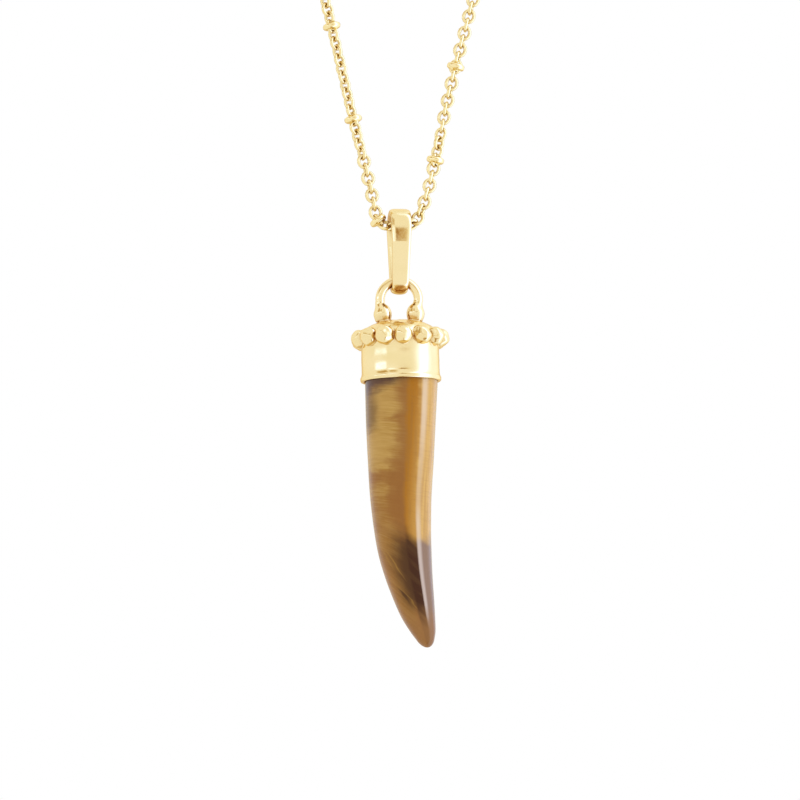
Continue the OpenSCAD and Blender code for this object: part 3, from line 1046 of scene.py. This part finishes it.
# %% Cup
horn_w = 9.1
horn_fit = 0.1
band_wall = 0.23
band_h = 5.4
lip_h = 0.6
dome_h = 2.4
dome_fall = 2.05
horn_seat = 4.8
loop_d = 5.92
loop_wire = 1.16
foot_d = 2.3
foot_aside = -0.05
loop_rise = 1.8
foot_sink = 0.35
drop_lean = 1.1

bore_r = horn_w / 2 + horn_fit
band_r = bore_r + band_wall
dome_z = -loop_rise - foot_d / 2 + foot_sink
beads_z = dome_z - dome_h
rim_z = beads_z - band_h
hang = Matrix.Translation(loop_at) @ Matrix.Rotation(math.radians(-drop_lean), 4, "Y")


def turned(name, profile, steps):
    """A profile of radii and heights, spun round Z and closed on its axis."""
    return lofted(name, [[Vector((radius * math.cos(angle), radius * math.sin(angle), height))
                          for angle in angles_round(steps)] for radius, height in profile], False)


def dome_profile(radius, steps=14):
    """Radii and heights of the dome, from the middle to the edge."""
    angles = [math.pi / 2 * i / steps for i in range(steps + 1)]
    return [(radius * math.sin(t) + 0.001, dome_z - dome_fall * (1 - math.cos(t)))
            for t in angles]


seat_z = rim_z + horn_seat + horn_fit
lip_top = rim_z + lip_h
# The lathe left two faint waves in the band, which break up what it mirrors
wave_h = 1.83
wave_depth = 0.008
wave_z = -7.05
# Above the lip the band flares a little
flare_r = 1.5
flare_h = 0.6


def band_point(height):
    """The band's radius and height where it is turned."""
    radius = band_r + wave_depth * math.sin(2 * math.pi * (wave_z - height) / wave_h)
    below = max(0, lip_top + flare_h - height)
    return radius + flare_r - math.sqrt(flare_r ** 2 - below ** 2), height


band_steps = 44
cup_profile = dome_profile(band_r) + [
    band_point(beads_z + (lip_top - beads_z) * i / band_steps) for i in range(band_steps + 1)]
lip_stand = 0.06
lip_r = cup_profile[-1][0] + lip_stand
# The lip's rounded corners, the rim's flat end, then the bore up to the horn's seat
cup_profile += [
    (lip_r - 0.02, lip_top - 0.04), (lip_r, lip_top - 0.11), (lip_r, rim_z + 0.25),
    (lip_r - 0.04, rim_z + 0.1), (lip_r - 0.1, rim_z + 0.03), (lip_r - 0.2, rim_z),
    (bore_r + 0.04, rim_z), (bore_r, rim_z + 0.04), (bore_r, seat_z), (0.001, seat_z),
]
cup_steps = 160
cup = turned("cup", cup_profile, cup_steps)
print("the cup's band is", round(2 * band_r, 2), "mm wide")

# %% [markdown]
# The collar's thirteen beads are each a little different: flattened, turned and dented by the
# hammer. They repeat round a circle, so they are a small Geometry Nodes tree: a ball with
# twelve weak flats, made of a cube's even grid, is put on the points of a circle with a
# random turn and size from a fixed seed, and dented by noise once the copies are real.

# %% One hammered bead
collar_tree, given = geometry_tree("collar beads", {
    "Beads": "Int", "Circle Radius": "Float", "Bead Size": "Float", "Facets": "Float",
    "Dent": "Float", "Loose Turn": "Float", "Seed": "Int", "Metal": "Material",
})
collar_node = partial(first, collar_tree)
collar_maths = partial(maths, collar_tree)


def scaled(vector, factor):
    """A vector of the collar's tree, made longer by a factor."""
    return collar_node("ShaderNodeVectorMath", {0: vector, "Scale": factor}, operation="SCALE")


# How far out the flats lie, on a ball of radius 1
flat_at = 0.88
cube_grid = 15
cube = collar_node("GeometryNodeMeshCube", {
    "Size": (1, 1, 1), **{"Vertices " + axis: cube_grid for axis in "XYZ"}})
place = collar_node("GeometryNodeInputPosition")
way = collar_node("ShaderNodeVectorMath", {0: place}, operation="NORMALIZE")
# The hammer leaves twelve flats, which look the way of an icosahedron's corners
corners = collar_node("GeometryNodeMeshIcoSphere", {"Radius": 1.0})
nearest = collar_node("GeometryNodeSampleNearest", {
    "Geometry": corners, "Sample Position": way})
flat_way = collar_node("GeometryNodeSampleIndex", {
    "Geometry": corners, "Value": place, "Index": nearest}, data_type="FLOAT_VECTOR")
facing_flat = node(collar_tree, "ShaderNodeVectorMath", {
    0: way, 1: flat_way}, operation="DOT_PRODUCT").outputs["Value"]
on_flat = scaled(way, collar_maths("DIVIDE", flat_at, facing_flat))
faceted = node(collar_tree, "ShaderNodeMix", {
    0: given["Facets"], 4: way, 5: on_flat}, data_type="VECTOR").outputs[1]
sized = scaled(faceted, collar_maths("MULTIPLY", given["Bead Size"], 0.5))
one_bead = collar_node("GeometryNodeSetPosition", {"Geometry": cube, "Position": sized})

# %% The circle of beads
circle = collar_node("GeometryNodeCurvePrimitiveCircle", {
    "Resolution": given["Beads"], "Radius": given["Circle Radius"]})
spots = collar_node("GeometryNodeCurveToPoints", {"Curve": circle}, mode="EVALUATED")
outward = collar_node("FunctionNodeAlignRotationToVector", {
    "Vector": collar_node("GeometryNodeInputPosition")}, axis="X", pivot_axis="Z")
# The smallest and the largest bead, as shares of the size
smallest = (0.98, 0.98, 0.98)
largest = (1.08, 1.08, 1.15)
wobble = collar_node("FunctionNodeRandomValue", {
    0: (-1, -1, -1), 1: (1, 1, 1), "Seed": given["Seed"]}, data_type="FLOAT_VECTOR")
growth = collar_node("FunctionNodeRandomValue", {
    0: smallest, 1: largest, "Seed": collar_maths("ADD", given["Seed"], 1)},
    data_type="FLOAT_VECTOR")
knock = collar_node("FunctionNodeEulerToRotation", {
    "Euler": scaled(wobble, given["Loose Turn"])})
knocked = collar_node("FunctionNodeRotateRotation", {
    "Rotation": outward, "Rotate By": knock}, rotation_space="LOCAL")
copies = collar_node("GeometryNodeInstanceOnPoints", {
    "Points": spots, "Instance": one_bead, "Rotation": knocked, "Scale": growth})
real = collar_node("GeometryNodeRealizeInstances", {"Geometry": copies})
hammer = collar_node("ShaderNodeTexNoise", {"Scale": 0.9, "Detail": 1.0})
dent = collar_maths("MULTIPLY", collar_maths("SUBTRACT", hammer, 0.5), given["Dent"])
dented = collar_node("GeometryNodeSetPosition", {
    "Geometry": real, "Offset": scaled(collar_node("GeometryNodeInputNormal"), dent)})
end_tree(collar_tree, dented, given["Metal"])
print("the collar's tree has", len(collar_tree.nodes), "nodes")

# %% [markdown]
# Beads, dome, loop and feet are soldered: metal runs into every corner between them. A
# boolean union would leave those corners knife sharp. A voxel remesh of the overlapping
# parts fuses them into one skin, and a few passes of smoothing fill the corners as solder
# does. The cup's plain band keeps its exact turned surface, so the fused part is only a thin
# inner shell there, just inside the band.

# %% Cap
bead_count = 13
bead_d = 2.3
bead_out = 0.12
bead_turn = 5
bead_facets = 0.4
bead_dent = 0.25
bead_knock = math.radians(60)
collar_seed = 8
collar = mesh_object("collar", [(0, 0, 0)], [])
run_tree(collar, collar_tree, {
    "Beads": bead_count, "Circle Radius": band_r + bead_out, "Bead Size": bead_d,
    "Facets": bead_facets, "Dent": bead_dent, "Loose Turn": bead_knock, "Seed": collar_seed,
    "Metal": gold,
})
outwards(collar.data)
collar.data.transform(Matrix.Translation((0, 0, beads_z))
                      @ Matrix.Rotation(math.radians(bead_turn - 90), 4, "Z"))

# A shell under the beads, which ends inside the band's wall and keeps clear of its faces
shell_clear = 0.02
shell_steps = 120
shell_r = band_r - shell_clear
shell_bore = bore_r + shell_clear
shell_foot = beads_z - 1.3
shell_seat = seat_z + 0.05
shell = turned("shell", dome_profile(shell_r + 0.04) + [
    (shell_r, beads_z + 0.5), (shell_r, shell_foot), (shell_bore, shell_foot),
    (shell_bore, shell_seat), (0.001, shell_seat)], shell_steps)

# The loop: an arc whose ends swell into two feet, given by place aside, height and radius
loop_r = (loop_d - loop_wire) / 2
loop_turn = 8
loop_points = arc(Vector(), loop_r, -loop_turn, 180 + loop_turn, steps=44)
loop_bar = swept("loop_bar", loop_points, [loop_wire / 2] * len(loop_points), sides=24)
foot_shape = [
    (2.37, -0.25, 0.58), (2.35, -0.55, 0.6), (2.28, -0.8, 0.74), (2.19, -1.05, 0.92),
    (2.11, -1.35, 1.07), (2.07, -1.7, 1.14), (2.05, -2.05, 1.12), (2.05, -2.4, 1.02),
    (2.05, -2.8, 0.9),
]
feet = [swept("foot", [Vector((side * x + foot_aside, 0, z)) for x, z, _ in foot_shape],
              [radius for *_, radius in foot_shape], sides=24) for side in (1, -1)]
# A short stub stands out of the left foot's shoulder
stub_at = Vector((-2.02, -0.42, -1.2))
stub_d = 1.1
stub_squash = 0.8
stub = ball("stub", stub_at, stub_d, stub_squash)

solder = joined("solder", [collar, shell, loop_bar, *feet, stub])
remesh = solder.modifiers.new("fused", "REMESH")
remesh.mode = "VOXEL"
remesh.voxel_size = 0.07
relax = solder.modifiers.new("solder fillets", "SMOOTH")
relax.factor = 0.5
relax.iterations = 3
applied(solder)
# Inside the cup nothing shows, so fewer faces are enough
seat_margin = 0.15
bore_margin = 0.1
inside = solder.vertex_groups.new(name="inside")
inside.add([vertex.index for vertex in solder.data.vertices if vertex.co.z < seat_z + seat_margin
            and vertex.co.xy.length < bore_r + bore_margin], 1, "REPLACE")
thin = solder.modifiers.new("thinned inside", "DECIMATE")
thin.ratio = 0.5
thin.vertex_group = "inside"
applied(solder)
cap = joined("cap_and_loop", [cup, solder])

# A casting is never quite even: slow noise moves every point by a hair, and the hammer has
# left shallow dents above the band. Vector noise starts from the clock unless it has a seed
casting_wave = 0.03
wave_pace = 0.55
hammer_dent = 0.06
dent_pace = 1.5
noise_seed = 4
noise.seed_set(noise_seed)
# The dents start this far below the beads' middle, and fade out over the dome's top
dents_below = 0.5
dents_over = 0.3
dents_fade = 0.4
for vertex in cap.data.vertices:
    above = min(clamped(vertex.co.z - beads_z + dents_below),
                clamped((dome_z + dents_over - vertex.co.z) / dents_fade))
    dent = noise.noise_vector(vertex.co * dent_pace) * hammer_dent * above
    vertex.co += casting_wave * noise.noise_vector(vertex.co * wave_pace) + dent
cap.data.transform(hang)
finished(cap, gold, "drop", "gold", "cap")

# %% [markdown]
# ## Horn
#
# The horn is ground from one piece of stone: slightly squarish in section, tapering slowly
# and then faster, and bending to the right at its tip. Its outline is the CAD model's own
# table of shares, made smooth in finer steps. Each row is a ring, and the UV map that the
# stone's material reads is written with the mesh: U from left to right, V from cap to tip.
# The layers slant through the stone, so behind its middle U shifts the further back it is,
# and the back shows other parts of the same zones.

# %% Horn
horn_depth = 8.7
horn_l = 33.3
horn_bend = 2.5
horn_square = 2.2
horn_sides = 96
horn_steps = 10
nose_steps = 14
nose_from = math.radians(38)
tip_aside = 1.06
tip_size = 0.004
horn_rows = [
    (0, 1, 0.03), (0.16, 0.955, -0.04), (0.31, 0.9, -0.08), (0.43, 0.845, -0.11),
    (0.55, 0.785, -0.06), (0.64, 0.735, 0.03), (0.73, 0.655, 0.2), (0.82, 0.555, 0.44),
    (0.885, 0.462, 0.64), (0.94, 0.345, 0.86), (0.97, 0.25, 0.97),
]
rows = smooth([Vector(row) for row in horn_rows], horn_steps)
last = rows[-1]
# The nose is the upper part of an oval, from where the oval is as steep as the last rows
for i in range(1, nose_steps + 1):
    t = nose_from + (math.pi / 2 - nose_from) * i / nose_steps
    along = (math.sin(t) - math.sin(nose_from)) / (1 - math.sin(nose_from))
    nose_row = last.lerp(Vector((1, 0, tip_aside)), along)
    nose_row[1] = last[1] * max(math.cos(t) / math.cos(nose_from), tip_size)
    rows.append(nose_row)
heights = [rim_z + horn_seat] + [rim_z - horn_l * row[0] for row in rows]
rows.insert(0, rows[0].copy())


def horn_ring(height, size, aside):
    """One ring of the horn, a slightly squarish oval."""
    flat = [squarish(angle, horn_square) for angle in angles_round(horn_sides)]
    return [Vector((x * size * horn_w / 2 + aside * horn_bend, y * size * horn_depth / 2, height))
            for x, y in flat]


horn = lofted("stone_horn", [
    horn_ring(height, row[1], row[2]) for height, row in zip(heights, rows)], False)


def row_at(height):
    """The horn's share of width and bend at a height."""
    share = max(0, (rim_z - height) / horn_l)
    for here, there in zip(rows[1:], rows[2:]):
        if share <= there[0]:
            part = (share - here[0]) / (there[0] - here[0])
            return here.lerp(there, part)
    return rows[-1]


layer_slant = 1.2
layer_dip = 0.25
# The least width that U is measured by, so that it stays calm at the very tip
thinnest = 0.3
uv_layer = horn.data.uv_layers.new(name="UVMap")
for loop in horn.data.loops:
    point = horn.data.vertices[loop.vertex_index].co
    row = row_at(point.z)
    aside = (point.x - row[2] * horn_bend) / max(row[1] * horn_w, thinnest)
    behind = max(0, point.y) / horn_depth
    uv_layer.data[loop.index].uv = (0.5 + aside - layer_slant * behind,
                                    (rim_z - point.z) / horn_l - layer_dip * behind)
horn.data.transform(hang)
finished(horn, stone, "drop", "stone", "horn")
